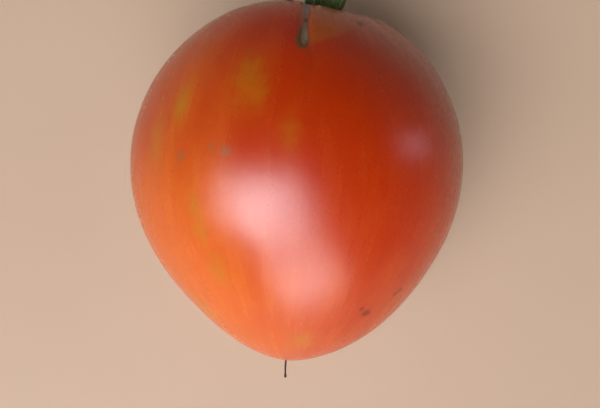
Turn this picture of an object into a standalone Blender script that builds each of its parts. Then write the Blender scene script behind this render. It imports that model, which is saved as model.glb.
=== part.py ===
"""A heart-shaped tomato as picked, lying on its side: the fruit, its calyx with the stalk, and its dried style.

Every piece is modelled with the fruit upright: +Z runs from the blossom tip to the stalk, and -Y is the side with
the seam. An empty then lays the fruit down, stalk end towards +Y and seam side up, on a small flat spot at z = 0.
"""

import math

import bmesh
import bpy
from mathutils import Vector
from mathutils.geometry import interpolate_bezier

# The fruit's heart shape, in metres. The middle is on the axis, in the plane of the widest ring.
HALF_WIDTH = 0.0468
HALF_DEPTH = 0.0435
MIDDLE_TO_SHOULDER = 0.0473
MIDDLE_TO_TIP = 0.0566
TIP_TAPER = 1.205
FLANK_HOLLOW = 0.051
TIP_BOW = 0.0010
TIP_KINK = -0.0006

# The hollow round the stalk, and how much the shoulder round it rises and falls.
STALK_HOLLOW_DEPTH = 0.009
STALK_HOLLOW_RADIUS = 0.012
SHOULDER_WAVES = (
    (1, 0.0005, math.radians(0)),
    (2, 0.0008, math.radians(37)),
    (3, 0.0007, math.radians(-103)),
)

# The seam, a healed crease from the stalk hollow down the upper shoulder. The skin left of it stands proud.
SEAM_DEPTH = 0.0009
SEAM_HALF_WIDTH = 0.0012
SEAM_LIP = 0.0006
SEAM_LIP_WIDTH = 0.0048
SEAM_START = math.radians(12)
SEAM_END = math.radians(50)
SEAM_FADE = math.radians(6)

# How the fruit lies: the stalk end is raised, and its weight has pressed a flat spot.
STALK_END_RAISED = math.radians(7)
MIDDLE_HEIGHT = 0.0430
MIDDLE_ALONG_Y = 0.0010

# The fruit's mesh. Rings are closer near both ends, and meridians near the seam.
MERIDIANS = 72
RINGS = 42
RING_CROWDING = 0.5
MERIDIAN_CROWDING = 0.5

# Calyx and stalk.
GAP = 0.0003
HUB_RADIUS = 0.0042
HUB_THICKNESS = 0.0024
SEPAL_ROOT_WIDTH = 0.0032
SEPAL_WIDTH = 0.0046
SEPAL_TIP_WIDTH = 0.0006
SEPAL_WIDEST_AT = 0.3
SEPAL_THICKNESS = 0.0007
SEPAL_FOLD = 0.28
SEPAL_STEPS = 14
STALK_RADIUS = 0.0016

# Each sepal: its direction round the stalk, the twist at its tip, and its midrib as a Bezier curve. The curve starts
# in the hub, and its two handles and its tip are each a distance out from the stalk and a height above the skin.
SEPAL_ROOT = (0.0022, 0.0015)
SEPALS = (
    (math.radians(-130), math.radians(-16), (0.0060, 0.0006), (0.0100, 0.0050), (0.0062, 0.0155)),
    (math.radians(-73), math.radians(14), (0.0070, 0.0006), (0.0105, 0.0060), (0.0075, 0.0180)),
    (math.radians(-38), math.radians(-24), (0.0130, 0.0004), (0.0155, 0.0045), (0.0120, 0.0165)),
    (math.radians(33), math.radians(10), (0.0080, 0.0012), (0.0150, 0.0008), (0.0180, 0.0022)),
    (math.radians(88), math.radians(-18), (0.0080, 0.0008), (0.0165, 0.0030), (0.0165, 0.0140)),
    (math.radians(150), math.radians(20), (0.0090, 0.0012), (0.0180, 0.0010), (0.0215, 0.0030)),
)

# The stalk's middle line from the hub up, and its radius there as a share of the usual one.
STALK_LINE = (
    (0.0000, 0.0000, 0.0404, 1.25),
    (0.0014, -0.0002, 0.0420, 1.05),
    (0.0048, -0.0004, 0.0460, 1.00),
    (0.0076, -0.0010, 0.0515, 1.00),
    (0.0084, -0.0016, 0.0565, 1.05),
)

# The knuckle where it was picked: its length and radius, and its rounding as shares of them.
KNUCKLE_LENGTH = 0.0032
KNUCKLE_RADIUS = 0.0023
KNUCKLE_ROUNDING = ((0.5, 1.0), (0.8, 0.98), (1.0, 0.72))

# The dried style, a thread left on the blossom tip.
STYLE_LENGTH = 0.0058
STYLE_ROOT = 0.0012
STYLE_RADIUS = 0.00031
STYLE_TAPER = 0.25
STYLE_BEND = -0.00015
STYLE_STEPS = 12
STYLE_HOLE_RADIUS = 0.00066
STIGMA_RADIUS = 0.00036
STIGMA_STEPS = 2

FLOOR_BLOCK = 0.16


def clear_scene():
    for obj in list(bpy.data.objects):
        bpy.data.objects.remove(obj)


def new_collection(name):
    collection = bpy.data.collections.new(name)
    bpy.context.scene.collection.children.link(collection)
    return collection


def material(name, colour, roughness):
    made = bpy.data.materials.new(name)
    made.use_nodes = True
    shader = made.node_tree.nodes["Principled BSDF"]
    shader.inputs["Base Color"].default_value = (*colour, 1.0)
    shader.inputs["Roughness"].default_value = roughness
    shader.inputs["Metallic"].default_value = 0.0
    return made


def object_from_bmesh(bm, name, collection):
    mesh = bpy.data.meshes.new(name)
    bm.to_mesh(mesh)
    bm.free()
    obj = bpy.data.objects.new(name, mesh)
    collection.objects.link(obj)
    return obj


def mesh_object(source, name, collection):
    """The evaluated form of a curve or modified object, as a plain closed mesh object in its place."""
    bpy.context.view_layer.update()
    evaluated = source.evaluated_get(bpy.context.evaluated_depsgraph_get())
    mesh = bpy.data.meshes.new_from_object(evaluated)
    bm = bmesh.new()
    bm.from_mesh(mesh)
    bmesh.ops.remove_doubles(bm, verts=bm.verts, dist=1e-6)
    bmesh.ops.recalc_face_normals(bm, faces=bm.faces)
    bm.to_mesh(mesh)
    bm.free()
    obj = bpy.data.objects.new(name, mesh)
    obj.matrix_world = source.matrix_world.copy()
    bpy.data.objects.remove(source)
    collection.objects.link(obj)
    return obj


def ease(x):
    """0 below 0, 1 above 1, and smooth between."""
    x = min(max(x, 0.0), 1.0)
    return x * x * (3 - 2 * x)


def fruit_point(polar, azimuth):
    """A point of the skin: polar is 0 at the stalk and pi at the tip, azimuth -pi/2 on the seam."""
    past_middle = max(polar - math.pi / 2, 0.0)
    before_middle = max(math.pi / 2 - polar, 0.0)
    power = 1 + (TIP_TAPER - 1) * ease(past_middle / (math.pi / 2))
    across = abs(math.sin(polar)) ** power * (1 - FLANK_HOLLOW * math.sin(2 * past_middle) ** 2)
    along = math.copysign(abs(math.cos(polar)) ** power, math.cos(polar))
    sideways = TIP_BOW * math.sin(2 * past_middle) + TIP_KINK * math.sin(4 * past_middle)
    shoulder = math.sin(2 * before_middle)

    x = HALF_WIDTH * across * math.cos(azimuth)
    y = HALF_DEPTH * across * math.sin(azimuth)
    z = along * (MIDDLE_TO_SHOULDER if along > 0 else MIDDLE_TO_TIP)
    if along > 0:
        z -= STALK_HOLLOW_DEPTH * math.exp(-(x * x + y * y) / STALK_HOLLOW_RADIUS**2)
        z += shoulder * sum(rise * math.cos(n * (azimuth - at)) for n, rise, at in SHOULDER_WAVES)
    point = Vector((x + sideways, y, z))

    if y < 0:
        fall = SEAM_LIP_WIDTH if x < 0 else SEAM_HALF_WIDTH
        point.z -= shoulder * math.sin(azimuth) * SEAM_LIP * math.exp(-((x / fall) ** 2))
        started = ease((polar - SEAM_START) / SEAM_FADE)
        ended = ease((polar - SEAM_END) / SEAM_FADE)
        depth = SEAM_DEPTH * (started - ended) * math.exp(-((x / SEAM_HALF_WIDTH) ** 2))
        point -= Vector((0, -math.sin(polar), math.cos(polar))) * depth
    return point


def skin_height(direction, out):
    """The skin's height along the fruit's axis, at a distance out from it, on the stalk's side."""
    x = out * math.cos(direction) / HALF_WIDTH
    y = out * math.sin(direction) / HALF_DEPTH
    return fruit_point(math.asin(math.hypot(x, y)), math.atan2(y, x)).z


def build_fruit(collection, cutters):
    """A sphere whose rings and meridians are moved onto the fruit's skin, with its flat spot and style hole cut."""
    bm = bmesh.new()
    bmesh.ops.create_uvsphere(bm, u_segments=MERIDIANS, v_segments=RINGS, radius=1.0)
    for vertex in bm.verts:
        share = math.acos(max(-1.0, min(1.0, vertex.co.z))) / math.pi
        polar = math.pi * (share - RING_CROWDING * math.sin(2 * math.pi * share) / (2 * math.pi))
        azimuth = math.atan2(vertex.co.y, vertex.co.x)
        azimuth -= MERIDIAN_CROWDING * math.cos(azimuth)
        vertex.co = fruit_point(polar, azimuth)
    bmesh.ops.recalc_face_normals(bm, faces=bm.faces)
    fruit = object_from_bmesh(bm, "fruit", collection)

    bm = bmesh.new()
    bmesh.ops.create_cube(bm, size=FLOOR_BLOCK)
    floor = object_from_bmesh(bm, "floor_block", cutters)
    floor.location = (0, 0, -FLOOR_BLOCK / 2)

    bm = bmesh.new()
    bmesh.ops.create_cone(
        bm,
        cap_ends=True,
        segments=10,
        radius1=STYLE_HOLE_RADIUS,
        radius2=STYLE_HOLE_RADIUS,
        depth=2 * (STYLE_ROOT + GAP),
    )
    hole = object_from_bmesh(bm, "style_hole", cutters)
    hole.location = (0, 0, -MIDDLE_TO_TIP)

    for cutter in (floor, hole):
        cutter.hide_render = True
        cutter.display_type = "WIRE"
        cut = fruit.modifiers.new(cutter.name, "BOOLEAN")
        cut.operation = "DIFFERENCE"
        cut.object = cutter
    fruit.data.shade_smooth()
    return fruit, hole


def sepal_width(along):
    """Lance-shaped: narrower at the root, widest at a third of its length, and drawn out to a fine tip."""
    if along < SEPAL_WIDEST_AT:
        swell = ease(along / SEPAL_WIDEST_AT)
        return SEPAL_ROOT_WIDTH + (SEPAL_WIDTH - SEPAL_ROOT_WIDTH) * swell
    taper = ((along - SEPAL_WIDEST_AT) / (1 - SEPAL_WIDEST_AT)) ** 1.4
    return SEPAL_WIDTH + (SEPAL_TIP_WIDTH - SEPAL_WIDTH) * taper


def build_sepal(collection, direction, twist, *curve):
    """One sepal as a folded strip along its own curved midrib, given its thickness by Solidify."""
    bm = bmesh.new()
    outward = Vector((math.cos(direction), math.sin(direction), 0))
    aside = Vector((-outward.y, outward.x, 0))
    up = Vector((0, 0, 1))
    ends = [Vector((*point, 0)) for point in (SEPAL_ROOT, *curve)]
    line = [
        outward * point.x + up * (skin_height(direction, point.x) + point.y)
        for point in interpolate_bezier(*ends, SEPAL_STEPS + 1)
    ]
    rows = []
    for i, point in enumerate(line):
        along = i / SEPAL_STEPS
        forward = (line[min(i + 1, SEPAL_STEPS)] - line[max(i - 1, 0)]).normalized()
        face = forward.cross(aside)
        turn = twist * along
        across = aside * math.cos(turn) + face * math.sin(turn)
        raised = face * math.cos(turn) - aside * math.sin(turn)
        half = sepal_width(along) / 2
        rows.append(
            [
                bm.verts.new(point + half * (across * side + raised * SEPAL_FOLD * abs(side) ** 1.5))
                for side in (-1.0, -0.5, 0.0, 0.5, 1.0)
            ]
        )
    for before, after in zip(rows, rows[1:]):
        for k in range(len(before) - 1):
            bm.faces.new((before[k], after[k], after[k + 1], before[k + 1]))
    bmesh.ops.triangulate(bm, faces=bm.faces)
    strip = object_from_bmesh(bm, "sepal_strip", collection)
    wall = strip.modifiers.new("thickness", "SOLIDIFY")
    wall.thickness = SEPAL_THICKNESS
    wall.offset = 0.0
    return mesh_object(strip, "sepal", collection)


def build_hub(collection):
    """The cushion that the sepals and the stalk grow from: a sphere pressed flat onto the bottom of the hollow."""
    bm = bmesh.new()
    bmesh.ops.create_uvsphere(bm, u_segments=20, v_segments=10, radius=1.0)
    for vertex in bm.verts:
        out = math.hypot(vertex.co.x, vertex.co.y) * HUB_RADIUS
        direction = math.atan2(vertex.co.y, vertex.co.x)
        middle = skin_height(direction, out) + GAP + HUB_THICKNESS / 2
        height = middle + vertex.co.z * HUB_THICKNESS / 2
        vertex.co = Vector((vertex.co.x * HUB_RADIUS, vertex.co.y * HUB_RADIUS, height))
    return object_from_bmesh(bm, "hub", collection)


def build_stalk(collection):
    """The stalk as a bent round rod that ends in the knuckle where it was picked."""
    curve = bpy.data.curves.new("stalk_line", "CURVE")
    curve.dimensions = "3D"
    curve.bevel_depth = STALK_RADIUS
    curve.bevel_resolution = 2
    curve.resolution_u = 4
    curve.use_fill_caps = True
    line = list(STALK_LINE)
    end, before = Vector(line[-1][:3]), Vector(line[-2][:3])
    on = (end - before).normalized() * KNUCKLE_LENGTH
    swell = KNUCKLE_RADIUS / STALK_RADIUS
    line += [(*(end + on * length), swell * radius) for length, radius in KNUCKLE_ROUNDING]
    spline = curve.splines.new("BEZIER")
    spline.bezier_points.add(len(line) - 1)
    for knot, (x, y, z, radius) in zip(spline.bezier_points, line):
        knot.co = (x, y, z)
        knot.radius = radius
        knot.handle_left_type = "AUTO"
        knot.handle_right_type = "AUTO"
    rod = bpy.data.objects.new("stalk_line", curve)
    collection.objects.link(rod)
    return mesh_object(rod, "stalk", collection)


def build_calyx(collection):
    """Sepals, hub and stalk grew as one, so one Boolean union joins them."""
    grown = new_collection("calyx_pieces")
    build_stalk(grown)
    for sepal in SEPALS:
        build_sepal(grown, *sepal)
    hub = build_hub(collection)
    join = hub.modifiers.new("grown_together", "BOOLEAN")
    join.operation = "UNION"
    join.operand_type = "COLLECTION"
    join.collection = grown
    join.solver = "EXACT"
    calyx = mesh_object(hub, "calyx", collection)
    for obj in list(grown.objects):
        bpy.data.objects.remove(obj)
    bpy.data.collections.remove(grown)
    return calyx


def build_style(collection):
    """The dried style, rooted in a small hole in the blossom tip, with the stigma's knob at its end."""
    curve = bpy.data.curves.new("style_line", "CURVE")
    curve.dimensions = "3D"
    curve.bevel_depth = STYLE_RADIUS
    curve.bevel_resolution = 1
    curve.use_fill_caps = True
    spline = curve.splines.new("POLY")
    spline.points.add(STYLE_STEPS)
    for i, knot in enumerate(spline.points):
        along = i / STYLE_STEPS
        below_middle = MIDDLE_TO_TIP - STYLE_ROOT + (STYLE_ROOT + STYLE_LENGTH) * along
        knot.co = (STYLE_BEND * math.sin(math.pi * along), 0, -below_middle, 1)
        stigma = i > STYLE_STEPS - STIGMA_STEPS
        knot.radius = STIGMA_RADIUS / STYLE_RADIUS if stigma else 1 - STYLE_TAPER * along
    rod = bpy.data.objects.new("style_line", curve)
    collection.objects.link(rod)
    return mesh_object(rod, "dried_style", collection)


def main():
    clear_scene()
    tomato = new_collection("tomato")
    cutters = new_collection("cutters")
    lying = bpy.data.objects.new("lying_fruit", None)
    tomato.objects.link(lying)
    lying.rotation_euler = (STALK_END_RAISED - math.pi / 2, 0, 0)
    lying.location = (0, MIDDLE_ALONG_Y, MIDDLE_HEIGHT)

    fruit, hole = build_fruit(tomato, cutters)
    calyx = build_calyx(tomato)
    style = build_style(tomato)
    for piece in (fruit, hole, calyx, style):
        piece.parent = lying

    fruit.data.materials.append(material("ripe_skin", (0.60, 0.075, 0.012), 0.35))
    calyx.data.materials.append(material("green_calyx", (0.085, 0.16, 0.035), 0.6))
    style.data.materials.append(material("dried_thread", (0.06, 0.025, 0.012), 0.8))
    bpy.context.view_layer.update()


main()
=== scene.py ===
# %% [markdown]
# # A heart-shaped tomato, as picked
# The real thing is one ripe fruit that lies on its side, with the green calyx and stalk that it was
# picked with, and the dried thread of the flower's style on its tip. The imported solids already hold
# every piece at its true size and place. This lesson lays a finer piece over each of them. The forms
# stay, and skin, cork, leaf and hairs are added. Lengths are in metres, as the solids are.

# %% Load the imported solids
import math

import bmesh
import bpy
from mathutils import Euler, Matrix, Quaternion, Vector
from mathutils.geometry import interpolate_bezier


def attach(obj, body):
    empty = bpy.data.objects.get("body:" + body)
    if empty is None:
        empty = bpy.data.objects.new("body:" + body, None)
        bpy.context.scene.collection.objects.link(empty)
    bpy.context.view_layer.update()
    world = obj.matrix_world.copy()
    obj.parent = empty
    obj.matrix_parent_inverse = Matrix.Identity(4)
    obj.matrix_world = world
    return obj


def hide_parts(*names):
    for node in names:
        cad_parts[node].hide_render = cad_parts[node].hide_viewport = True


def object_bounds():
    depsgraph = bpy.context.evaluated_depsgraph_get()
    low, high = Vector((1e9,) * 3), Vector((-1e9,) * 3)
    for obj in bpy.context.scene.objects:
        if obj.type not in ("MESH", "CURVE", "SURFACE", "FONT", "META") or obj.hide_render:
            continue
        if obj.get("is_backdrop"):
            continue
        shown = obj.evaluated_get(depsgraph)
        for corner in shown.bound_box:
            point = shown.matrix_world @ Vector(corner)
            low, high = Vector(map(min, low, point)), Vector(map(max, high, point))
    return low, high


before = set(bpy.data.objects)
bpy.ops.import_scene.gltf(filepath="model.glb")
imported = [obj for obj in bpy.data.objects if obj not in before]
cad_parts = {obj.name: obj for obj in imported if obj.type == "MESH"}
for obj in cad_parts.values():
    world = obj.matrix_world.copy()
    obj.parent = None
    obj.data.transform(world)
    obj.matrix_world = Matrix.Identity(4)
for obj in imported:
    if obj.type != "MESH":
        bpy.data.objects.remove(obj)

cad_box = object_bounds()
print("solids:", sorted(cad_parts), "in a box of", [round(v, 4) for v in cad_box[1] - cad_box[0]])

# %% [markdown]
# ## One way to write node trees
# Shape rules and colour rules both end up as nodes here. They could be wired by hand, but a sum such as
# depth * (1 - mask) would take many lines. So a socket is wrapped in a small class, and each sign adds
# its Math node. The helpers below it also take plain numbers, which lets one formula serve the nodes
# and Python alike.

# %% Wires and trees
class Tree:
    """A node tree, and one method that adds any node to it."""

    def __init__(self, tree):
        self.tree = tree

    def node(self, kind, settings=None, sockets=None, out=0):
        """Adds a node from its type, settings and sockets' values or wires, and returns one output."""
        made = self.tree.nodes.new(kind)
        for name, value in (settings or {}).items():
            setattr(made, name, value)
        for name, value in (sockets or {}).items():
            socket = pick(made.inputs, name)
            if isinstance(value, Wire):
                self.tree.links.new(value.socket, socket)
            else:
                socket.default_value = value
        return Wire(self, pick(made.outputs, out)) if made.outputs else None


class Wire:
    """An output socket that can stand in a Python sum."""

    def __init__(self, tree, socket):
        self.tree = tree
        self.socket = socket

    def output(self, name):
        return Wire(self.tree, pick(self.socket.node.outputs, name))

    def maths(self, operation, *others):
        return sum_node(self.tree, operation, self, *others)

    def __add__(self, other):
        return self.maths("ADD", other)

    def __mul__(self, other):
        return self.maths("MULTIPLY", other)

    def __sub__(self, other):
        return self.maths("SUBTRACT", other)

    def __truediv__(self, other):
        return self.maths("DIVIDE", other)

    def __pow__(self, other):
        return self.maths("POWER", other)

    def __rsub__(self, other):
        return sum_node(self.tree, "SUBTRACT", other, self)

    def __rtruediv__(self, other):
        return sum_node(self.tree, "DIVIDE", other, self)

    def __neg__(self):
        return self * -1.0

    def __abs__(self):
        return self.maths("ABSOLUTE")

    __radd__ = __add__
    __rmul__ = __mul__


def pick(sockets, name):
    """A socket by its place in the row, or else by its identifier, which is never shared by two sockets."""
    if isinstance(name, int):
        return sockets[name]
    return next(socket for socket in sockets if socket.identifier == name)


def sum_node(tree, operation, *values):
    return tree.node("ShaderNodeMath", {"operation": operation}, dict(enumerate(values)))


# %% Functions that take a number or a wire
def either(number_rule, operation):
    def work(*values):
        wire = next((value for value in values if isinstance(value, Wire)), None)
        return sum_node(wire.tree, operation, *values) if wire else number_rule(*values)

    return work


def number_ease(x):
    x = min(max(x, 0.0), 1.0)
    return x * x * (3 - 2 * x)


def ease(x):
    """0 below 0, 1 above 1, and smooth between."""
    if isinstance(x, Wire):
        smooth = {"interpolation_type": "SMOOTHSTEP"}
        return x.tree.node("ShaderNodeMapRange", smooth, {"Value": x}, "Result")
    return number_ease(x)


sin = either(math.sin, "SINE")
cos = either(math.cos, "COSINE")
exp = either(math.exp, "EXPONENT")
larger = either(max, "MAXIMUM")
smaller = either(min, "MINIMUM")
angle_of = either(math.atan2, "ARCTAN2")
is_more = either(lambda a, b: float(a > b), "GREATER_THAN")


def bell(x):
    """1 at zero, falling off smoothly on both sides."""
    return exp(-(x * x))


def between(low, high, share):
    return low + (high - low) * share


def split(vector):
    parts = vector.tree.node("ShaderNodeSeparateXYZ", sockets={0: vector})
    return parts, parts.output("Y"), parts.output("Z")


def join(tree, x, y, z):
    return tree.node("ShaderNodeCombineXYZ", sockets={"X": x, "Y": y, "Z": z})


def vector_maths(operation, a, b, out="Vector"):
    return a.tree.node("ShaderNodeVectorMath", {"operation": operation}, {0: a, 1: b}, out)


def scaled(vector, by):
    return vector.tree.node("ShaderNodeVectorMath", {"operation": "SCALE"}, {"Vector": vector, "Scale": by})


def noise(where, scale, detail=2.0, roughness=0.5, out="Fac"):
    sockets = {"Vector": where, "Scale": scale, "Detail": detail, "Roughness": roughness}
    return where.tree.node("ShaderNodeTexNoise", None, sockets, out)


print("ease at a quarter:", ease(0.25), "bell at one:", round(bell(1.0), 3))

# %% [markdown]
# ## Running a Geometry Nodes recipe
# A recipe is a Python function that fills a node tree. Its sizes are named inputs of the tree, so they
# can be changed in the modifier's panel too. Afterwards the result is turned into a plain mesh, because
# a finished piece should not depend on its modifier.

# %% Grow a piece from a recipe
def grow(name, recipe, sizes, finish, start=None):
    """Runs a recipe on an object and returns a plain mesh object with the named finish."""
    group = bpy.data.node_groups.new(name, "GeometryNodeTree")
    group.interface.new_socket("Geometry", in_out="INPUT", socket_type="NodeSocketGeometry")
    group.interface.new_socket("Geometry", in_out="OUTPUT", socket_type="NodeSocketGeometry")
    identifiers = {}
    for size, value in sizes.items():
        kind = "NodeSocketInt" if isinstance(value, int) else "NodeSocketFloat"
        identifiers[size] = group.interface.new_socket(size, in_out="INPUT", socket_type=kind).identifier
    tree = Tree(group)
    given = tree.node("NodeGroupInput")
    size_wires = {size: given.output(identifiers[size]) for size in sizes}
    made = recipe(tree, size_wires, given)
    whole = tree.node("GeometryNodeRealizeInstances", sockets={"Geometry": made})
    painted = tree.node("GeometryNodeSetMaterial", sockets={"Geometry": whole, "Material": finish})
    tree.node("NodeGroupOutput", sockets={0: painted})

    if start is None:
        start = bpy.data.objects.new(name + "_start", bpy.data.meshes.new(name + "_start"))
        bpy.context.scene.collection.objects.link(start)
    growing = start.modifiers.new(name, "NODES")
    growing.node_group = group
    for size, value in sizes.items():
        growing[identifiers[size]] = value
    return plain(start, name)


def plain(source, name):
    """An object's evaluated form as a plain mesh object, without empty slots. The source is removed."""
    bpy.context.view_layer.update()
    evaluated = source.evaluated_get(bpy.context.evaluated_depsgraph_get())
    mesh = bpy.data.meshes.new_from_object(evaluated)
    mesh.name = name
    while None in mesh.materials[:]:
        mesh.materials.pop(index=mesh.materials[:].index(None))
    bpy.data.objects.remove(source)
    piece = bpy.data.objects.new(name, mesh)
    bpy.context.scene.collection.objects.link(piece)
    return piece


def report(piece):
    mesh = piece.data
    mesh.calc_loop_triangles()
    lows = [round(min(v.co[i] for v in mesh.vertices) * 1000, 2) for i in range(3)]
    highs = [round(max(v.co[i] for v in mesh.vertices) * 1000, 2) for i in range(3)]
    print(piece.name, len(mesh.loop_triangles), "triangles, from", lows, "to", highs, "mm")


# %% [markdown]
# ## The fruit's form
# The skin is a heart: a round shoulder with a hollow where the stalk grows, drawn out to a blunt tip. A
# sculpted mesh would do, but a formula of two angles gives every point, keeps the real sizes as names,
# and lets a blemish be placed by its angles. It is written with the fruit upright: +Z runs to the stalk
# and -Y is the seam side.

# %% The heart as a formula
SHAPE = {
    "Half width": 0.0468,
    "Half depth": 0.0435,
    "Middle to shoulder": 0.0473,
    "Middle to tip": 0.0566,
    "Tip taper": 1.205,
    "Flank hollow": 0.051,
    "Tip bow": 0.0010,
    "Tip kink": -0.0006,
    "Stalk hollow depth": 0.009,
    "Stalk hollow radius": 0.012,
    "Seam aside": 0.0005,
    "Seam depth": 0.0009,
    "Seam half width": 0.0012,
    "Seam lip": 0.0006,
    "Seam lip width": 0.0048,
}
SHOULDER_WAVES = (
    (1, 0.0005, math.radians(0)),
    (2, 0.0008, math.radians(37)),
    (3, 0.0007, math.radians(-103)),
)
SEAM_START = math.radians(12)
SEAM_END = math.radians(50)
SEAM_FADE = math.radians(6)


def fruit_point(size, polar, azimuth):
    """A point of the skin: polar is 0 at the stalk and pi at the tip, azimuth -pi/2 on the seam."""
    past_middle = larger(polar - math.pi / 2, 0.0)
    before_middle = larger(math.pi / 2 - polar, 0.0)
    power = 1 + (size["Tip taper"] - 1) * ease(past_middle / (math.pi / 2))
    across = abs(sin(polar)) ** power * (1 - size["Flank hollow"] * sin(2 * past_middle) ** 2)
    upper = is_more(cos(polar), 0.0)
    along = (2 * upper - 1) * abs(cos(polar)) ** power
    sideways = size["Tip bow"] * sin(2 * past_middle) + size["Tip kink"] * sin(4 * past_middle)
    shoulder = sin(2 * before_middle)

    x = size["Half width"] * across * cos(azimuth)
    y = size["Half depth"] * across * sin(azimuth)
    z = along * between(size["Middle to tip"], size["Middle to shoulder"], upper)
    z = z - upper * size["Stalk hollow depth"] * exp(-(x * x + y * y) / size["Stalk hollow radius"] ** 2)
    for n, rise, at in SHOULDER_WAVES:
        z = z + shoulder * rise * cos(n * (azimuth - at))

    seam_side = is_more(-y, 0.0)
    off_seam = x - size["Seam aside"]
    right = is_more(off_seam, 0.0)
    fall = between(size["Seam lip width"], size["Seam half width"], right)
    z = z - seam_side * shoulder * sin(azimuth) * size["Seam lip"] * bell(off_seam / fall)
    run = ease((polar - SEAM_START) / SEAM_FADE) - ease((polar - SEAM_END) / SEAM_FADE)
    depth = seam_side * size["Seam depth"] * run * bell(off_seam / size["Seam half width"])
    return x + sideways, y + depth * sin(polar), z - depth * cos(polar)


def skin_height(direction, out):
    """The skin's height along the fruit's axis, at a distance out from it, on the stalk's side."""
    x = out * math.cos(direction) / SHAPE["Half width"]
    y = out * math.sin(direction) / SHAPE["Half depth"]
    return fruit_point(SHAPE, math.asin(math.hypot(x, y)), math.atan2(y, x))[2]


tip = fruit_point(SHAPE, math.pi, 0.0)
print("the tip is", round(-tip[2] * 1000, 1), "mm below the middle")
print("the stalk grows at a height of", round(skin_height(0, 0) * 1000, 1), "mm")

# %% [markdown]
# ## How it lies
# Everything is made upright and then laid down on its side, stalk end raised a little. The solids were
# turned by an empty. A finished piece keeps its place in its mesh instead, so this turn is applied to
# the points.

# %% Lay the fruit down
STALK_END_RAISED = math.radians(7)
MIDDLE = Vector((0.0, 0.0010, 0.0430))
LYING_TURN = Euler((STALK_END_RAISED - math.pi / 2, 0.0, 0.0))
LYING = Matrix.Translation(MIDDLE) @ LYING_TURN.to_matrix().to_4x4()
print("the tip lies at", [round(v * 1000, 1) for v in LYING @ Vector(tip)], "mm")

# %% [markdown]
# ## Marks on the skin
# Ripe skin has small sunken brown pits, grey-green specks and yellow patches where it ripened unevenly.
# Painting them by hand would tie them to one texture. Here each is a place on the formula, given by its
# two angles, with a size. The form uses the same list for its dents as the finish does for its colours.

# %% Places of the marks
def skin_spot(polar, azimuth):
    return fruit_point(SHAPE, math.radians(polar), math.radians(azimuth))


# Each is polar and azimuth in degrees, then its radius and its depth in metres.
PITS = (
    (131, -54, 0.00110, 0.00010),
    (129, -58, 0.00060, 0.00004),
    (123, -41, 0.00070, 0.00006),
    (124.3, -43, 0.00060, 0.00004),
    (37, -60, 0.00110, 0.00025),
    (97, 62, 0.00060, 0.00020),
    (74, 121, 0.00050, 0.00015),
)
# Each is polar and azimuth in degrees, its radius in metres and its strength.
SPECKS = (
    (86, -110, 0.0013, 0.55),
    (85, -114.5, 0.0009, 0.35),
    (88, -125, 0.0011, 0.5),
    (70, 20, 0.0010, 0.5),
    (104, 150, 0.0012, 0.6),
)
YELLOW_PATCHES = (
    (73, -128, 0.0024, 0.8),
    (65, -106, 0.0036, 0.55),
    (70, -102, 0.0022, 0.5),
    (80, -92, 0.0022, 0.3),
    (100, -120, 0.0018, 0.55),
    (106, -119, 0.0020, 0.5),
    (118, -116, 0.0028, 0.5),
    (144, -84, 0.0030, 0.5),
    (84, -137, 0.0030, 0.5),
    (135, -138, 0.0032, 0.5),
    (60, 60, 0.0040, 0.6),
    (95, 100, 0.0036, 0.5),
    (120, 30, 0.0032, 0.5),
    (76, 175, 0.0030, 0.6),
)
print(len(PITS), "pits,", len(SPECKS), "specks and", len(YELLOW_PATCHES), "yellow patches")

# %% [markdown]
# ## The skin's mesh
# The fruit is one closed skin. Geometry Nodes start from a sphere, move its rings and meridians onto
# the formula, and crowd them where the skin is busy: near the seam and both ends. Then the skin is
# pushed in and out a little along its normal, because a real shoulder is never quite smooth and its
# highlight shows that. Last it is laid down, and what would sink below the table is pressed flat.

# %% The skin as a Geometry Nodes recipe
SKIN = {
    **SHAPE,
    "Meridians": 280,
    "Rings": 348,
    "Meridian crowding": 0.66,
    "Ring crowding": 0.3,
    "Unevenness": 0.00034,
    "Unevenness scale": 52.0,
    "Cork height": 0.00030,
    "Tip dimple": 0.00070,
    "Tip dimple radius": 0.0010,
    "Tip ring": 0.00016,
    "Tip ring radius": 0.0022,
    "Pressed edge": 0.0003,
}


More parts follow.
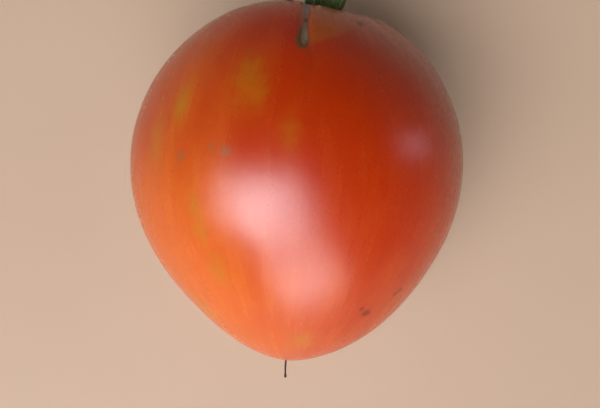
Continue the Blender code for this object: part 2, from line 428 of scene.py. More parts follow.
def skin_recipe(tree, size, given):
    ball_sizes = {"Segments": size["Meridians"], "Rings": size["Rings"], "Radius": 1.0}
    ball = tree.node("GeometryNodeMeshUVSphere", sockets=ball_sizes)
    x, y, z = split(tree.node("GeometryNodeInputPosition"))
    share = sum_node(tree, "ARCCOSINE", z) / math.pi
    polar = math.pi * (share - size["Ring crowding"] * sin(2 * math.pi * share) / (2 * math.pi))
    azimuth = angle_of(y, x)
    azimuth = azimuth - size["Meridian crowding"] * cos(azimuth)
    place = join(tree, *fruit_point(size, polar, azimuth))
    heart = tree.node("GeometryNodeSetPosition", sockets={"Geometry": ball, "Position": place})

    here = tree.node("GeometryNodeInputPosition")
    x, y, z = split(here)
    uneven = (noise(here, size["Unevenness scale"], 1.0) - 0.5) * size["Unevenness"]
    cork = scar_core(x * 1000, y * 1000, z * 1000) * size["Cork height"] * noise(here, 1500.0, 2.0)
    off_axis = (x * x + y * y) ** 0.5
    below = is_more(0.0, z)
    dimple = bell(off_axis / size["Tip dimple radius"]) * size["Tip dimple"]
    ring = bell((off_axis - size["Tip ring radius"]) / size["Tip dimple radius"]) * size["Tip ring"]
    push = uneven + cork + below * (ring - dimple)
    for polar_at, azimuth_at, radius, depth in PITS:
        far = vector_maths("DISTANCE", here, skin_spot(polar_at, azimuth_at), "Value")
        push = push - bell(far / radius) * depth
    offset = scaled(tree.node("GeometryNodeInputNormal"), push)
    marked = tree.node("GeometryNodeSetPosition", sockets={"Geometry": heart, "Offset": offset})

    laid_sizes = {"Geometry": marked, "Translation": MIDDLE, "Rotation": LYING_TURN}
    laid = tree.node("GeometryNodeTransform", sockets=laid_sizes)
    x, y, z = split(tree.node("GeometryNodeInputPosition"))
    pressed = join(tree, x, y, sum_node(tree, "SMOOTH_MAX", z, 0.0, size["Pressed edge"]))
    flat = tree.node("GeometryNodeSetPosition", sockets={"Geometry": laid, "Position": pressed})
    return tree.node("GeometryNodeSetShadeSmooth", sockets={"Geometry": flat})


# %% [markdown]
# ## The seam's cork
# Where the young flower stuck to the fruit, the skin healed as a line of grey-tan cork down the
# shoulder, ending in a small teardrop. A groove alone would look like a cut. So a low ridge of cork
# runs in the groove, and this mask gives its outline to the form and to the finish alike.

# %% The cork's outline
# Heights along the fruit's axis and half widths, in millimetres.
CORK_TOP = 43.0
CORK_WAIST = 35.9
CORK_WIDEST = 31.0
CORK_END = 29.1
CORK_HALF_WIDTHS = {"line": 0.72, "waist": 0.38, "drop": 0.72}


def scar_half_width(z):
    line = ease((z - CORK_WAIST) / 2.5)
    widths = CORK_HALF_WIDTHS
    drop = ease((CORK_WAIST - z) / (CORK_WAIST - CORK_WIDEST))
    closing = 1 - ease((CORK_WIDEST - z) / (CORK_WIDEST - CORK_END))
    lower = between(widths["waist"], widths["drop"], drop) * closing ** 0.35
    return between(lower, widths["line"], line)


def scar_core(x, y, z, wider=1.0, softness=0.35):
    """1 on the cork and 0 off it, for a place in millimetres on the upright fruit."""
    off = abs(x - SHAPE["Seam aside"] * 1000)
    inside = (scar_half_width(z) * wider - off) / softness + 0.5
    front = is_more(-y, 5.0)
    return ease(inside) * front * ease((CORK_TOP - z) / 1.5) * ease((z - CORK_END + 0.6) / 0.5)


print("the cork is", round(2 * scar_half_width(31.0), 2), "mm wide in the drop and",
      round(2 * scar_half_width(40.0), 2), "mm in the line")

# %% [markdown]
# ## The skin's finish
# Tomato skin is a clear waxy coat over flesh that ripened unevenly: red on the shoulder, more orange
# towards the tip, with yellow patches, faint streaks along the fruit and fine pale dots. Light goes a
# little way in, so the shader also scatters it under the surface. All of it is procedural and read in
# the upright fruit's millimetres, so the marks stay at the places that the formula gives.

# %% Helpers for finishes
MILLIMETRE = 0.001


def new_finish(name, **constants):
    """A material, its tree and its shader, with the sockets that are the same all over."""
    finish = bpy.data.materials.new(name)
    finish.use_nodes = True
    shader = finish.node_tree.nodes["Principled BSDF"]
    for socket, value in constants.items():
        shader.inputs[socket.replace("_", " ")].default_value = value
    return finish, Tree(finish.node_tree), shader


def feed(tree, shader, **wires):
    for socket, wire in wires.items():
        tree.tree.links.new(wire.socket, shader.inputs[socket.replace("_", " ")])


def upright_millimetres(tree):
    place = tree.node("ShaderNodeTexCoord", out="Object")
    sockets = {"Vector": place, "Location": MIDDLE, "Rotation": LYING_TURN, "Scale": (MILLIMETRE,) * 3}
    return tree.node("ShaderNodeMapping", {"vector_type": "TEXTURE"}, sockets)


def blend(mask, below, above, how="MIX"):
    tree = mask.tree
    sockets = {"Factor_Float": mask, "A_Color": opaque(below), "B_Color": opaque(above)}
    return tree.node("ShaderNodeMix", {"data_type": "RGBA", "blend_type": how}, sockets, "Result_Color")


def opaque(colour):
    return colour if isinstance(colour, Wire) else (*colour, 1.0)


def relief(tree, height):
    """A bump from a height in millimetres."""
    sockets = {"Strength": 1.0, "Distance": MILLIMETRE, "Height": height}
    return tree.node("ShaderNodeBump", sockets=sockets, out="Normal")


def in_millimetres(spot):
    return tuple(v * 1000 for v in spot)


# %% The ripe skin
RED = (0.36, 0.024, 0.0003)
ORANGE = (0.49, 0.098, 0.0070)
YELLOW = (0.37, 0.145, 0.004)
SPECK = (0.17, 0.115, 0.045)
PIT = (0.15, 0.012, 0.0004)
# Painted shade: the darker red laid beside the seam.
PAINTED_SEAM_SHADE = (0.29, 0.010, 0.0004)
WEDGE = (0.37, 0.074, 0.0008)
PALE_DOT = (0.72, 0.30, 0.10)
STREAK_SHADE = (0.80, 0.62, 0.6)
MOTTLE_SHADE = (0.80, 0.70, 0.6)
STYLE_FOOT = (0.17, 0.055, 0.015)
CORK_EDGE = (0.075, 0.055, 0.012)
CORK_DARK = (0.085, 0.055, 0.034)
CORK_PALE = (0.30, 0.205, 0.140)
CORK_GREY = (0.32, 0.27, 0.255)
CORK_TAN = (0.29, 0.15, 0.080)
CORK_BREAK = (0.035, 0.012, 0.004)
# Heights on the upright fruit in millimetres, for the cork's grey part, its tan spot and the break in it.
GREY_FROM = 37.5
TAN_AT = 37.2
BREAK_AT = 35.8


def spots(where, marks, stretch=1.0):
    """The strongest of several round or drawn-out spots at each place."""
    narrowed = vector_maths("MULTIPLY", where, (1.0, 1.0, 1.0 / stretch))
    strongest = None
    for polar, azimuth, radius, strength in marks:
        x, y, z = in_millimetres(skin_spot(polar, azimuth))
        far = vector_maths("DISTANCE", narrowed, (x, y, z / stretch), "Value")
        spot = bell(far / (radius * 1000)) * strength
        strongest = spot if strongest is None else larger(strongest, spot)
    return strongest


def skin_finish():
    finish, tree, shader = new_finish(
        "ripe_skin",
        IOR=1.55,
        Subsurface_Weight=0.2,
        Subsurface_Radius=(1.0, 0.25, 0.08),
        Subsurface_Scale=0.003,
    )
    here = upright_millimetres(tree)
    x, y, z = split(here)
    outward = tree.node("ShaderNodeVectorMath", {"operation": "NORMALIZE"}, {0: join(tree, x, y, 0.0)})
    around = vector_maths("ADD", scaled(outward, 9.0), join(tree, 0.0, 0.0, z * 0.045))
    warp = scaled(vector_maths("SUBTRACT", noise(here, 0.35, 3.0, out="Color"), (0.5, 0.5, 0.5)), 5.0)
    warped = vector_maths("ADD", here, warp)

    broad = noise(here, 0.030, 2.0)
    off_axis = (x * x + y * y) ** 0.5
    away_from_ends = ease(off_axis / 22.0)
    streaks = 0.5 + (noise(around, 1.0, 2.0, 0.5) - 0.5) * away_from_ends
    fine_streaks = 0.5 + (noise(around, 3.6, 1.5, 0.5) - 0.5) * away_from_ends
    towards_tip = ease((25.0 - z) / 65.0)
    towards_left = ease((18.0 - x) / 50.0)
    orange = 0.62 * towards_left + 0.55 * towards_tip - 0.12
    orange = orange + 0.9 * (broad - 0.5) + 0.45 * (streaks - 0.5)
    colour = blend(ease(orange), RED, ORANGE)

    yellow = spots(warped, YELLOW_PATCHES, 2.2) * (0.6 + 0.8 * fine_streaks)
    colour = blend(yellow, colour, YELLOW)
    darker = ease((fine_streaks - 0.46) / 0.3) * 0.16
    colour = blend(darker, colour, STREAK_SHADE, "MULTIPLY")
    mottle = noise(warped, 1.0, 2.0, 0.6)
    colour = blend(ease((mottle - 0.42) / 0.3) * 0.4, colour, MOTTLE_SHADE, "MULTIPLY")

    front = is_more(-y, 5.0)
    # Painted shade: a darker red patch to the left of the seam, where shade falls beside it.
    painted_seam_shade = bell((x + 2.6) / 2.4) * bell((z - 32.5) / 5.0) * front
    colour = blend(painted_seam_shade * 0.7, colour, PAINTED_SEAM_SHADE)
    # An orange wedge to the right of the seam, which ends below on a slanted line.
    above_line = z - 27.4 - 0.5 * x + 1.2 * (broad - 0.5)
    wedge = ease((x - 0.8) / 0.8) * ease((14.0 - x) / 7.0) * ease(above_line / 1.6)
    colour = blend(wedge * front * 0.75, colour, WEDGE)

    cells = tree.node("ShaderNodeTexVoronoi", sockets={"Vector": here, "Scale": 0.75, "Randomness": 1.0})
    dots = ease((0.26 - cells) / 0.16) * ease((noise(here, 0.12) - 0.35) / 0.3)
    colour = blend(dots * 0.06, colour, PALE_DOT)

    specks = spots(here, SPECKS) * (0.7 + 0.6 * noise(here, 1.3, 2.0))
    colour = blend(specks, colour, SPECK)
    pits = spots(here, [(polar, azimuth, radius, 1.0) for polar, azimuth, radius, depth in PITS])
    colour = blend(smaller(pits * 1.5, 0.95), colour, PIT)

    cork_noise = noise(here, 1.6, 4.0, 0.6)
    drop = ease((CORK_WAIST + 0.5 - z) / 4.0)
    ragged = 0.5 * (noise(here, 0.9, 3.0) - 0.5)
    margin = scar_core(x + 0.4 * drop + ragged, y, z + 1.3, between(1.4, 2.2, drop), 1.2)
    margin = margin * between(0.35, 0.85, drop)
    core = scar_core(x + 0.6 * ragged, y, z, 1.0, 0.5)
    colour = blend(margin, colour, CORK_EDGE)
    cork = blend(cork_noise, CORK_DARK, CORK_PALE)
    cork = blend(ease((z - GREY_FROM) / 1.5) * 0.7, cork, CORK_GREY)
    cork = blend(bell((z - TAN_AT) / 0.6), cork, CORK_TAN)
    cork = blend(bell((z - BREAK_AT) / 0.5), cork, CORK_BREAK)
    colour = blend(core, colour, cork)

    below = ease((-50.0 - z) / 4.0)
    colour = blend(below * bell((off_axis - 0.8) / 0.9) * 0.85, colour, STYLE_FOOT)

    rough = 0.27 + 0.06 * (streaks - 0.5) + 0.02 * (mottle - 0.5) + core * 0.45
    height = 0.012 * noise(here, 0.42, 0.0) + 0.0005 * noise(here, 2.2, 0.0)
    height = height + core * 0.12 * cork_noise - 0.05 * pits
    feed(tree, shader, Base_Color=colour, Roughness=rough, Normal=relief(tree, height))
    return finish


fruit_skin = grow("fruit_skin", skin_recipe, SKIN, skin_finish())
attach(fruit_skin, "root")
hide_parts("fruit")
report(fruit_skin)

# %% [markdown]
# ## Rods that follow a path
# The stalk and the dried style are both rods along a bent line, thick here and thin there, ribbed or
# wrinkled, and rough at their ends. A bevelled curve gives only a smooth tube. This recipe wraps a
# sphere round the line instead: its rings ride along the line, and those near its poles spread over the
# two ends, so the rod is closed.

# %% A rod along a path
# Stored on each point: how far along its piece it is, how far to the side, and whether it is on a picked end.
ATTRIBUTES = ("along", "side", "scar")


def path_curve(name, line, knot_type):
    """A curve object through points that are each x, y, z and radius."""
    curve = bpy.data.curves.new(name, "CURVE")
    curve.dimensions = "3D"
    curve.resolution_u = 24
    spline = curve.splines.new("BEZIER")
    spline.bezier_points.add(len(line) - 1)
    for knot, (x, y, z, radius) in zip(spline.bezier_points, line):
        knot.co = (x, y, z)
        knot.radius = radius
        knot.handle_left_type = knot_type
        knot.handle_right_type = knot_type
    path = bpy.data.objects.new(name, curve)
    bpy.context.scene.collection.objects.link(path)
    return path


def rod_recipe(tree, size, given):
    ball_sizes = {"Segments": size["Sides"], "Rings": size["Rings"], "Radius": 1.0}
    ball = tree.node("GeometryNodeMeshUVSphere", sockets=ball_sizes)
    x, y, z = split(tree.node("GeometryNodeInputPosition"))
    share = 1 - sum_node(tree, "ARCCOSINE", z) / math.pi
    cap = size["End share"]
    along = smaller(larger((share - cap) / (1 - 2 * cap), 0.0), 1.0)
    spread = sin(math.pi / 2 * smaller(smaller(share, 1 - share) / cap, 1.0))
    at_end = is_more(share, 1 - cap)

    radius = tree.node("GeometryNodeInputRadius")
    sockets = {0: given, 1: radius, "Factor": along}
    sample = tree.node("GeometryNodeSampleCurve", {"mode": "FACTOR"}, sockets, "Value")
    middle = sample.output("Position")
    forward = sample.output("Tangent")
    aside = sample.output("Normal")
    up = vector_maths("CROSS_PRODUCT", forward, aside)
    turn = angle_of(y, x)
    around = join(tree, cos(turn), sin(turn), along * size["Wrinkle stretch"])
    ribs = 1 + size["Rib depth"] * cos(size["Ribs"] * turn + 2.0 * along)
    wrinkles = 1 + size["Wrinkle depth"] * (noise(around, size["Wrinkle scale"], 3.0) - 0.5)
    out = sample * spread * ribs * wrinkles
    wall = vector_maths("ADD", scaled(aside, cos(turn) * out), scaled(up, sin(turn) * out))
    rough_end = noise(around, 2.5, 3.0) - 0.5
    dome = (1 - spread * spread) * (size["End dome"] + size["End roughness"] * rough_end) * sample
    push = scaled(forward, dome * (2 * at_end - 1))
    place = vector_maths("ADD", middle, vector_maths("ADD", wall, push))
    # Stored before the points move, because both are worked out from where the points are.
    for attribute_name, value in zip(ATTRIBUTES, (along, 0.0, at_end)):
        kind = {"data_type": "FLOAT", "domain": "POINT"}
        named = {"Geometry": ball, "Name": attribute_name, "Value": value}
        ball = tree.node("GeometryNodeStoreNamedAttribute", kind, named)
    rod = tree.node("GeometryNodeSetPosition", sockets={"Geometry": ball, "Position": place})
    return tree.node("GeometryNodeSetShadeSmooth", sockets={"Geometry": rod})


# %% [markdown]
# ## The green finishes
# Sepals and stalk are dull green, with paler veins and dry brown edges and tips. The stalk is paler,
# and brown and corky where it was picked. Both carry fine hairs, made further down as real geometry
# because they show against the light.

# %% Sepal, stalk and hair finishes
def attribute(tree, name):
    return tree.node("ShaderNodeAttribute", {"attribute_name": name}, out="Fac")


# The sepals' two greens are darkened as painted shade, for the shade the calyx lies in behind the shoulder.
SEPAL_DARK_PAINTED_SHADE = (0.018, 0.050, 0.008)
SEPAL_PALE_PAINTED_SHADE = (0.064, 0.120, 0.022)
SEPAL_BASE = (0.11, 0.17, 0.045)
SEPAL_VEIN = (0.17, 0.25, 0.07)
SEPAL_DRY = (0.14, 0.094, 0.034)
STALK_DARK = (0.055, 0.105, 0.022)
STALK_LIGHT = (0.13, 0.20, 0.05)
KNUCKLE_TINT = (0.20, 0.19, 0.07)
BARK_DARK = (0.055, 0.035, 0.016)
BARK_PALE = (0.26, 0.17, 0.085)
HAIR_DARK = (0.22, 0.30, 0.13)
HAIR_PALE = (0.46, 0.50, 0.32)
VEINS_ALONG = 15.0


def green_finish(name):
    return new_finish(name, IOR=1.4, Subsurface_Weight=0.08, Subsurface_Scale=MILLIMETRE)


def sepal_finish():
    finish, tree, shader = green_finish("sepal_green")
    here = upright_millimetres(tree)
    along = attribute(tree, "along")
    side = attribute(tree, "side")
    off = abs(side)
    mottle = noise(here, 0.9, 4.0, 0.6)
    fine = noise(here, 5.0, 3.0, 0.6)
    # The mottle runs between the two greens, and both are darkened as painted shade.
    colour = blend(ease((mottle - 0.3) / 0.4), SEPAL_DARK_PAINTED_SHADE, SEPAL_PALE_PAINTED_SHADE)
    colour = blend(0.6 * ease((0.25 - along) / 0.25), colour, SEPAL_BASE)
    slanted = along * VEINS_ALONG - off * 2.2 + 0.4 * mottle
    vein = bell((sum_node(tree, "FRACT", slanted) - 0.5) / 0.15) * ease((1.0 - off) / 0.5)
    rib = bell(off / 0.13)
    colour = blend(smaller(vein * 0.45 + rib * 0.75, 1.0), colour, SEPAL_VEIN)
    dry_edge = ease((off - 0.84 + 0.3 * (mottle - 0.5)) / 0.2) * 0.5
    dry_tip = ease((along - 0.86 + 0.1 * (mottle - 0.5)) / 0.1)
    colour = blend(smaller(dry_edge + dry_tip, 0.85), colour, SEPAL_DRY)
    height = 0.16 * rib + 0.09 * vein + 0.09 * mottle + 0.02 * fine
    rough = 0.62 + 0.15 * (fine - 0.5)
    feed(tree, shader, Base_Color=colour, Roughness=rough, Normal=relief(tree, height))
    return finish


def stalk_finish():
    finish, tree, shader = green_finish("stalk_green")
    here = upright_millimetres(tree)
    along = attribute(tree, "along")
    scar = attribute(tree, "scar")
    mottle = noise(here, 0.8, 4.0, 0.6)
    fine = noise(here, 6.0, 3.0, 0.6)
    colour = blend(mottle, STALK_DARK, STALK_LIGHT)
    knuckle = ease((along - 0.80 + 0.1 * (mottle - 0.5)) / 0.12)
    colour = blend(knuckle * 0.55, colour, KNUCKLE_TINT)
    bark = blend(fine, BARK_DARK, BARK_PALE)
    picked = larger(scar, ease((along - 0.965 + 0.06 * (mottle - 0.5)) / 0.02))
    colour = blend(picked, colour, bark)
    height = 0.06 * mottle + 0.03 * fine + 0.08 * picked * fine
    rough = 0.60 + 0.2 * picked
    feed(tree, shader, Base_Color=colour, Roughness=rough, Normal=relief(tree, height))
    return finish


def hair_finish():
    finish, tree, shader = new_finish("plant_hair", IOR=1.4, Subsurface_Weight=0.0)
    here = upright_millimetres(tree)
    colour = blend(noise(here, 0.6, 2.0), HAIR_DARK, HAIR_PALE)
    feed(tree, shader, Base_Color=colour, Roughness=0.45 + 0.1 * noise(here, 2.0))
    return finish


SEPAL_GREEN = sepal_finish()
STALK_GREEN = stalk_finish()
HAIR = hair_finish()
print("finishes:", [finish.name for finish in (SEPAL_GREEN, STALK_GREEN, HAIR)])

# %% [markdown]
# ## Sepals
# The sepals are the six green leaves of the flower. Each grows from the hub, follows the hollow
# outwards and curls up, folded along its midrib, with wavy edges. Their midribs are the curves that the
# solids follow. A flat strip with a Solidify modifier would have square edges, so here each sepal is
# lofted from rounded cross-sections that are thick at the midrib and thin at the edge.

# %% One sepal as a loft
SEPAL_ROOT = (0.0022, 0.0015)
SEPALS = (
    (math.radians(-130), math.radians(-16), (0.0060, 0.0006), (0.0100, 0.0050), (0.0062, 0.0155)),
    (math.radians(-73), math.radians(14), (0.0070, 0.0006), (0.0105, 0.0060), (0.0075, 0.0180)),
    (math.radians(-38), math.radians(-24), (0.0130, 0.0004), (0.0155, 0.0045), (0.0120, 0.0165)),
    (math.radians(33), math.radians(10), (0.0080, 0.0012), (0.0150, 0.0008), (0.0180, 0.0022)),
    (math.radians(88), math.radians(-18), (0.0080, 0.0008), (0.0165, 0.0030), (0.0165, 0.0140)),
    (math.radians(150), math.radians(20), (0.0090, 0.0012), (0.0180, 0.0010), (0.0215, 0.0030)),
)
SEPAL_ROWS = 60
SEPAL_SIDES = [i / 6 for i in range(-6, 7)]
SEPAL_ROOT_WIDTH = 0.0032
SEPAL_WIDTH = 0.0046
SEPAL_TIP_WIDTH = 0.0006
SEPAL_WIDEST_AT = 0.3
SEPAL_FOLD = 0.28
SEPAL_MIDRIB_THICKNESS = 0.00075
SEPAL_EDGE_THICKNESS = 0.00042
SEPAL_RIB = 0.00022
SEPAL_WAVE = 0.00030


def sepal_width(along):
    if along < SEPAL_WIDEST_AT:
        return between(SEPAL_ROOT_WIDTH, SEPAL_WIDTH, ease(along / SEPAL_WIDEST_AT))
    taper = ((along - SEPAL_WIDEST_AT) / (1 - SEPAL_WIDEST_AT)) ** 1.4
    return between(SEPAL_WIDTH, SEPAL_TIP_WIDTH, taper)


def sepal_section(half, along, phase, across, raised):
    """The closed outline of one cross-section as offsets from the midrib, with each point's side."""
    outline = []
    wave = SEPAL_WAVE * math.sin(math.pi * along) * half / (SEPAL_WIDTH / 2)
    for face in (1, -1):
        for side in SEPAL_SIDES[::face]:
            lift = half * SEPAL_FOLD * abs(side) ** 1.5
            lift += wave * side * side * math.sin(2 * math.pi * (4.3 * along + phase + 0.23 * side))
            thickness = between(SEPAL_MIDRIB_THICKNESS, SEPAL_EDGE_THICKNESS, side * side)
            thickness = min(thickness, half * 1.4)
            lift += face * thickness / 2
            if face < 0:
                lift -= SEPAL_RIB * bell(side / 0.22) * (1 - along)
            outline.append((across * (half * side) + raised * lift, side))
        edge = face * half * 1.05
        lift = half * SEPAL_FOLD + wave * math.sin(2 * math.pi * (4.3 * along + phase + 0.23 * face))
        outline.append((across * edge + raised * lift, float(face)))
    return outline


def new_bmesh():
    """An empty bmesh with the attributes that every piece of the calyx needs before they are joined."""
    bm = bmesh.new()
    for name in ATTRIBUTES:
        bm.verts.layers.float.new(name)
    return bm


def build_sepal(number, direction, twist, *curve):
    bm = new_bmesh()
    along_layer = bm.verts.layers.float["along"]
    side_layer = bm.verts.layers.float["side"]
    outward = Vector((math.cos(direction), math.sin(direction), 0))
    aside = Vector((-outward.y, outward.x, 0))
    ends = [Vector((*point, 0)) for point in (SEPAL_ROOT, *curve)]
    line = [
        outward * point.x + Vector((0, 0, skin_height(direction, point.x) + point.y))
        for point in interpolate_bezier(*ends, SEPAL_ROWS + 1)
    ]
    rows = []
    for i, point in enumerate(line):
        along = i / SEPAL_ROWS
        forward = (line[min(i + 1, SEPAL_ROWS)] - line[max(i - 1, 0)]).normalized()
        face = forward.cross(aside)
        turn = twist * along
        across = aside * math.cos(turn) + face * math.sin(turn)
        raised = face * math.cos(turn) - aside * math.sin(turn)
        half = sepal_width(along) / 2 * (1 + 0.05 * math.sin(9.0 * along + number))
        row = []
        for offset, side in sepal_section(half, along, number * 0.37, across, raised):
            vertex = bm.verts.new(point + offset)
            vertex[along_layer] = along
            vertex[side_layer] = side
            row.append(vertex)
        rows.append(row)
    for before, after in zip(rows, rows[1:]):
        for k in range(len(before)):
            following = (k + 1) % len(before)
            bm.faces.new((before[k], after[k], after[following], before[following]))
    bm.faces.new(rows[0])
    bm.faces.new(rows[-1])
    bmesh.ops.recalc_face_normals(bm, faces=bm.faces)
    return object_from(bm, f"sepal_{number}", SEPAL_GREEN)


def object_from(bm, name, finish):
    mesh = bpy.data.meshes.new(name)
    bm.to_mesh(mesh)
    bm.free()
    mesh.materials.append(finish)
    mesh.shade_smooth()
    piece = bpy.data.objects.new(name, mesh)
    bpy.context.scene.collection.objects.link(piece)
    return piece


sepals = [build_sepal(number, *sepal) for number, sepal in enumerate(SEPALS)]
print(len(sepals), "sepals with", len(sepals[0].data.vertices), "points each")

# %% [markdown]
# ## Hub and stalk
# The hub is the cushion that holds the sepals. It is a sphere pressed onto the bottom of the hollow, by
# the same rule as in the solids. The stalk is a rod along its own bent line with five soft ribs. It
# swells at the knuckle, where a ripe tomato lets go, and ends in a rough brown scar. All of it grew as
# one piece, so one Boolean union makes it one closed skin. Its points are then sorted by place, so that
# the hairs on it come out the same each time.

# %% Hub, stalk and the union
GAP = 0.0003
HUB_RADIUS = 0.0042
HUB_THICKNESS = 0.0024
STALK_RADIUS = 0.0016
STALK_LINE = (
    (0.0000, 0.0000, 0.0404, 1.25),
    (0.0014, -0.0002, 0.0420, 1.05),
    (0.0048, -0.0004, 0.0460, 1.00),
    (0.0076, -0.0010, 0.0515, 1.00),
    (0.0084, -0.0016, 0.0565, 1.05),
)
KNUCKLE_LENGTH = 0.0032
KNUCKLE_RADIUS = 0.0023
KNUCKLE_ROUNDING = ((0.25, 0.86), (0.5, 1.0), (0.8, 0.98), (1.0, 0.72))
STALK = {
    "Sides": 48,
    "Rings": 150,
    "End share": 0.07,
    "Ribs": 5,
    "Rib depth": 0.055,
    "Wrinkle depth": 0.16,
    "Wrinkle scale": 1.4,
    "Wrinkle stretch": 2.0,
    "End dome": 0.10,
    "End roughness": 0.9,
}


def build_hub():
    bm = new_bmesh()
    bmesh.ops.create_uvsphere(bm, u_segments=60, v_segments=30, radius=1.0)
    for vertex in bm.verts:
        out = math.hypot(vertex.co.x, vertex.co.y) * HUB_RADIUS
        direction = math.atan2(vertex.co.y, vertex.co.x)
        lobes = 1 + 0.05 * math.cos(6 * direction + 0.6) * out / HUB_RADIUS
        middle = skin_height(direction, out) + GAP + HUB_THICKNESS / 2
        height = middle + vertex.co.z * HUB_THICKNESS / 2
        vertex.co = Vector((vertex.co.x * HUB_RADIUS * lobes, vertex.co.y * HUB_RADIUS * lobes, height))
    return object_from(bm, "hub", STALK_GREEN)


def build_stalk():
    end, before = Vector(STALK_LINE[-1][:3]), Vector(STALK_LINE[-2][:3])
    on = (end - before).normalized() * KNUCKLE_LENGTH
    line = [(x, y, z, radius * STALK_RADIUS) for x, y, z, radius in STALK_LINE]
    line += [(*(end + on * length), KNUCKLE_RADIUS * radius) for length, radius in KNUCKLE_ROUNDING]
    return grow("stalk", rod_recipe, STALK, STALK_GREEN, path_curve("stalk_line", line, "AUTO"))


def move_to_corners(mesh):
    """Stores the attributes on face corners, because a union drops what is stored on points."""
    for name in ATTRIBUTES:
        on_points = [item.value for item in mesh.attributes[name].data]
        mesh.attributes.remove(mesh.attributes[name])
        on_corners = mesh.attributes.new(name, "FLOAT", "CORNER")
        for loop, item in zip(mesh.loops, on_corners.data):
            item.value = on_points[loop.vertex_index]


def in_fixed_order(piece):
    """Sorts a piece's points and faces by place, because a union returns them in a new order each time."""
    mesh = piece.data
    order = sorted(range(len(mesh.vertices)), key=lambda i: tuple(mesh.vertices[i].co))
    number = {old: new for new, old in enumerate(order)}
    faces = []
    for polygon in mesh.polygons:
        corners = [number[i] for i in polygon.vertices]
        loops = list(polygon.loop_indices)
        first = corners.index(min(corners))
        corners = corners[first:] + corners[:first]
        loops = loops[first:] + loops[:first]
        faces.append((corners, loops, polygon.material_index))
    faces.sort(key=lambda face: face[0])

    fixed = bpy.data.meshes.new(piece.name)
    fixed.from_pydata([mesh.vertices[i].co for i in order], [], [corners for corners, loops, slot in faces])
    for finish in mesh.materials:
        fixed.materials.append(finish)
    fixed.polygons.foreach_set("material_index", [slot for corners, loops, slot in faces])
    for name in ATTRIBUTES:
        before = mesh.attributes[name].data
        after = fixed.attributes.new(name, "FLOAT", "CORNER").data
        after.foreach_set("value", [before[i].value for corners, loops, slot in faces for i in loops])
    fixed.shade_smooth()
    piece.data = fixed
    bpy.data.meshes.remove(mesh)
    fixed.name = piece.name


def grow_together(base, others, name):
    for piece in (base, *others):
        move_to_corners(piece.data)
    grown = bpy.data.collections.new(name + "_pieces")
    bpy.context.scene.collection.children.link(grown)
    for other in others:
        grown.objects.link(other)
    join_all = base.modifiers.new("grown_together", "BOOLEAN")
    join_all.operation = "UNION"
    join_all.operand_type = "COLLECTION"
    join_all.collection = grown
    join_all.solver = "EXACT"
    join_all.material_mode = "TRANSFER"
    whole = plain(base, name)
    for other in others:
        bpy.data.objects.remove(other)
    bpy.data.collections.remove(grown)
    in_fixed_order(whole)
    return whole


stalk = build_stalk()
report(stalk)
calyx = grow_together(build_hub(), [stalk, *sepals], "calyx_and_stalk")
print("attributes kept:", [layer.name for layer in calyx.data.attributes])
print("finishes:", [finish.name for finish in calyx.data.materials])

# %% [markdown]
# ## Hairs
# Every green part of a tomato plant is finely hairy. Placing hairs by hand is out of the question, and
# particle hair would not be a mesh. Geometry Nodes scatter points over the calyx with a fixed seed, and
# put a slim three-sided cone on each that leans a little its own way.

# %% Hairs as a Geometry Nodes recipe
HAIRS = {
    "Hairs per square metre": 5200000.0,
    "Hair length": 0.00062,
    "Hair radius": 0.000026,
    "Hair lean": 0.55,
    "Seed": 11,
}


def random_number(tree, low, high, seed):
    sockets = {"Min_001": low, "Max_001": high, "Seed": seed}
    return tree.node("FunctionNodeRandomValue", {"data_type": "FLOAT"}, sockets, "Value_001")


def hair_recipe(tree, size, given):
    scar = tree.node("GeometryNodeInputNamedAttribute", {"data_type": "FLOAT"}, {"Name": "scar"}, 0)
    seed = size["Seed"]
    sockets = {
        "Mesh": given,
        "Selection": is_more(0.5, scar),
        "Density": size["Hairs per square metre"],
        "Seed": seed,
    }
    at_random = {"distribute_method": "RANDOM"}
    points = tree.node("GeometryNodeDistributePointsOnFaces", at_random, sockets)
    lean = join(tree, *(random_number(tree, -1.0, 1.0, seed + i) for i in range(3)))
    direction = vector_maths("ADD", points.output("Normal"), scaled(lean, size["Hair lean"]))
    turned = tree.node("FunctionNodeAlignRotationToVector", {"axis": "Z"}, {"Vector": direction})
    cone_sizes = {
        "Vertices": 3,
        "Radius Top": 0.0,
        "Radius Bottom": size["Hair radius"],
        "Depth": size["Hair length"],
    }
    cone = tree.node("GeometryNodeMeshCone", {"fill_type": "NGON"}, cone_sizes)
    stretch = random_number(tree, 0.35, 1.25, seed + 7)
    scale = join(tree, 1.0, 1.0, stretch)
    sockets = {"Points": points, "Instance": cone, "Rotation": turned, "Scale": scale}
    return tree.node("GeometryNodeInstanceOnPoints", sockets=sockets)


hair_base = bpy.data.objects.new("hair_base", calyx.data.copy())
bpy.context.scene.collection.objects.link(hair_base)
hairs = grow("calyx_hairs", hair_recipe, HAIRS, HAIR, hair_base)
for piece in (calyx, hairs):
    piece.data.transform(LYING)
    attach(piece, "root")
    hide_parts("calyx")
    report(piece)

# %% [markdown]
# ## The dried style
# The style is the flower's own thread. It dried on the fruit, so it is dark, shrunken and a little
# wrinkled, with the stigma's small knob at its end. It is the same rod recipe as the stalk, with other
# sizes.

# %% The dried style
STYLE_LENGTH = 0.0058
STYLE_ROOT = 0.0012
STYLE_RADIUS = 0.00031
STYLE_TAPER = 0.25
STYLE_BEND = -0.00015
STIGMA_RADIUS = 0.00036
STYLE_STEPS = 12
STYLE = {
    "Sides": 24,
    "Rings": 120,
    "End share": 0.05,
    "Ribs": 3,
    "Rib depth": 0.10,
    "Wrinkle depth": 0.30,
    "Wrinkle scale": 1.8,
    "Wrinkle stretch": 6.0,
    "End dome": 0.35,
    "End roughness": 0.5,
}


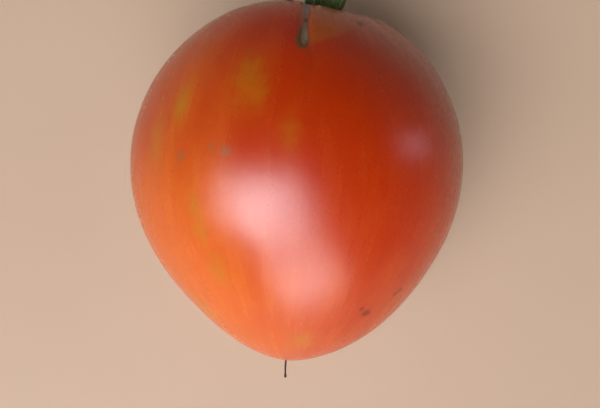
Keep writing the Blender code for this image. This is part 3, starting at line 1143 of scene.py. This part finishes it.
def style_line():
    line = []
    for i in range(STYLE_STEPS + 1):
        along = i / STYLE_STEPS
        below_middle = SHAPE["Middle to tip"] - STYLE_ROOT + (STYLE_ROOT + STYLE_LENGTH) * along
        radius = STIGMA_RADIUS if i > STYLE_STEPS - 2 else STYLE_RADIUS * (1 - STYLE_TAPER * along)
        line.append((STYLE_BEND * math.sin(math.pi * along), 0.0, -below_middle, radius))
    return line


THREAD_DARK = (0.012, 0.005, 0.004)
THREAD_PALE = (0.055, 0.022, 0.012)
THREAD_FOOT = (0.16, 0.035, 0.012)


def dried_finish():
    finish, tree, shader = new_finish("dried_thread", IOR=1.4)
    here = upright_millimetres(tree)
    along = attribute(tree, "along")
    fibres = noise(here, 6.0, 3.0, 0.65)
    colour = blend(fibres, THREAD_DARK, THREAD_PALE)
    colour = blend(ease((0.42 - along) / 0.3), colour, THREAD_FOOT)
    rough = 0.6 + 0.2 * fibres
    feed(tree, shader, Base_Color=colour, Roughness=rough, Normal=relief(tree, 0.03 * fibres))
    return finish


style_path = path_curve("style_line", style_line(), "AUTO")
style = grow("style_thread", rod_recipe, STYLE, dried_finish(), style_path)
style.data.transform(LYING)
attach(style, "root")
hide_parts("dried_style")
report(style)

# %% [markdown]
# ## Table, light and camera
# A plain pale table carries the fruit. Its light comes from large soft windows on the left and in
# front, so the skin shows the same broad pinkish shine as in daylight indoors, and fades to deep red at
# the back. A plain area light would give the shine a hard edge, so each window's light fades towards
# its sides, as through a curtain. Each window is placed by the direction that it is seen in from the
# fruit. The camera looks straight down on the fruit from close by, a little turned.

# %% The table
TABLE_SIZE = 6.0
TABLE_DARK = (0.42, 0.32, 0.21)
TABLE_PALE = (0.46, 0.355, 0.24)


def build_table():
    bm = bmesh.new()
    bmesh.ops.create_grid(bm, x_segments=8, y_segments=8, size=TABLE_SIZE)
    finish, tree, shader = new_finish("pale_table", IOR=1.4)
    place = tree.node("ShaderNodeTexCoord", out="Object")
    cloud = noise(place, 9.0, 3.0)
    colour = blend(cloud, TABLE_DARK, TABLE_PALE)
    feed(tree, shader, Base_Color=colour, Roughness=0.62 + 0.06 * (cloud - 0.5))
    table = object_from(bm, "table", finish)
    table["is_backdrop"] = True
    return table


build_table()

# %% Windows, sky and camera
# Each window is azimuth, elevation and roll in degrees, distance, width and height in metres, its radiance,
# and its colour where that isn't plain daylight.
WINDOWS = {
    "left_window": (-139, 46, 40, 2.0, 1.92, 1.92, 4.6),
    "middle_window": (-110, 55, 40, 2.0, 2.05, 2.05, 7.4),
    "front_window": (-84, 21, 20, 2.0, 1.92, 2.22, 4.8),
    "right_window": (13, 11, 0, 2.0, 0.58, 1.38, 1.6, (0.90, 0.80, 1.0)),
}
WINDOW_EDGE = 0.36
DAYLIGHT = (1.0, 0.93, 1.02)
SKY_AT_HORIZON = (0.24, 0.19, 0.15)
SKY_OVERHEAD = (0.024, 0.018, 0.012)
SKY_BLEND = 0.75
CAMERA_PLACE = (0.0020, -0.0184, 0.2275)
CAMERA_TURN = (math.radians(2.7), 0.0, math.radians(3.2))
SENSOR_WIDTH = 36.0
CAMERA_LENS = 38.4


def build_window(name, azimuth, elevation, roll, distance, width, height, radiance, colour=DAYLIGHT):
    light = bpy.data.lights.new(name, "AREA")
    light.shape = "RECTANGLE"
    light.size = width
    light.size_y = height
    light.energy = radiance * math.pi * width * height
    light.color = colour
    light.use_nodes = True
    tree = Tree(light.node_tree)
    across, up = split(tree.node("ShaderNodeNewGeometry", out="Parametric"))[:2]
    fade = ease((0.5 - abs(across - 0.5)) / WINDOW_EDGE) * ease((0.5 - abs(up - 0.5)) / WINDOW_EDGE)
    light.node_tree.links.new(fade.socket, light.node_tree.nodes["Emission"].inputs["Strength"])
    window = bpy.data.objects.new(name, light)
    a, e = math.radians(azimuth), math.radians(elevation)
    out = Vector((math.cos(a) * math.cos(e), math.sin(a) * math.cos(e), math.sin(e)))
    window.location = MIDDLE + out * distance
    rolled = out.to_track_quat("Z", "Y") @ Quaternion((0, 0, 1), math.radians(roll))
    window.rotation_euler = rolled.to_euler()
    window.visible_camera = False
    bpy.context.scene.collection.objects.link(window)


for name, facts in WINDOWS.items():
    build_window(name, *facts)

world = bpy.data.worlds.new("soft_sky")
world.use_nodes = True
sky = Tree(world.node_tree)
upwards = split(sky.node("ShaderNodeTexCoord", out="Generated"))[2]
room = blend(ease(abs(upwards) / SKY_BLEND), SKY_AT_HORIZON, SKY_OVERHEAD)
world.node_tree.links.new(room.socket, world.node_tree.nodes["Background"].inputs["Color"])
bpy.context.scene.world = world
bpy.context.scene.view_settings.view_transform = "Standard"

camera = bpy.data.objects.new("camera", bpy.data.cameras.new("camera"))
camera.data.sensor_width = SENSOR_WIDTH
camera.data.lens = CAMERA_LENS
camera.location = CAMERA_PLACE
camera.rotation_euler = CAMERA_TURN
bpy.context.scene.collection.objects.link(camera)
bpy.context.scene.camera = camera
print("camera at", tuple(camera.location))

# %% [markdown]
# ## Finish
# The last cell prints the solids' box and this model's box, so that the two can be compared.

# %% Print the sizes
boxes = {"cad": cad_box, "visual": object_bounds()}
for name, (low, high) in boxes.items():
    print(name, "box from", [round(v * 1000, 2) for v in low], "to", [round(v * 1000, 2) for v in high], "mm")
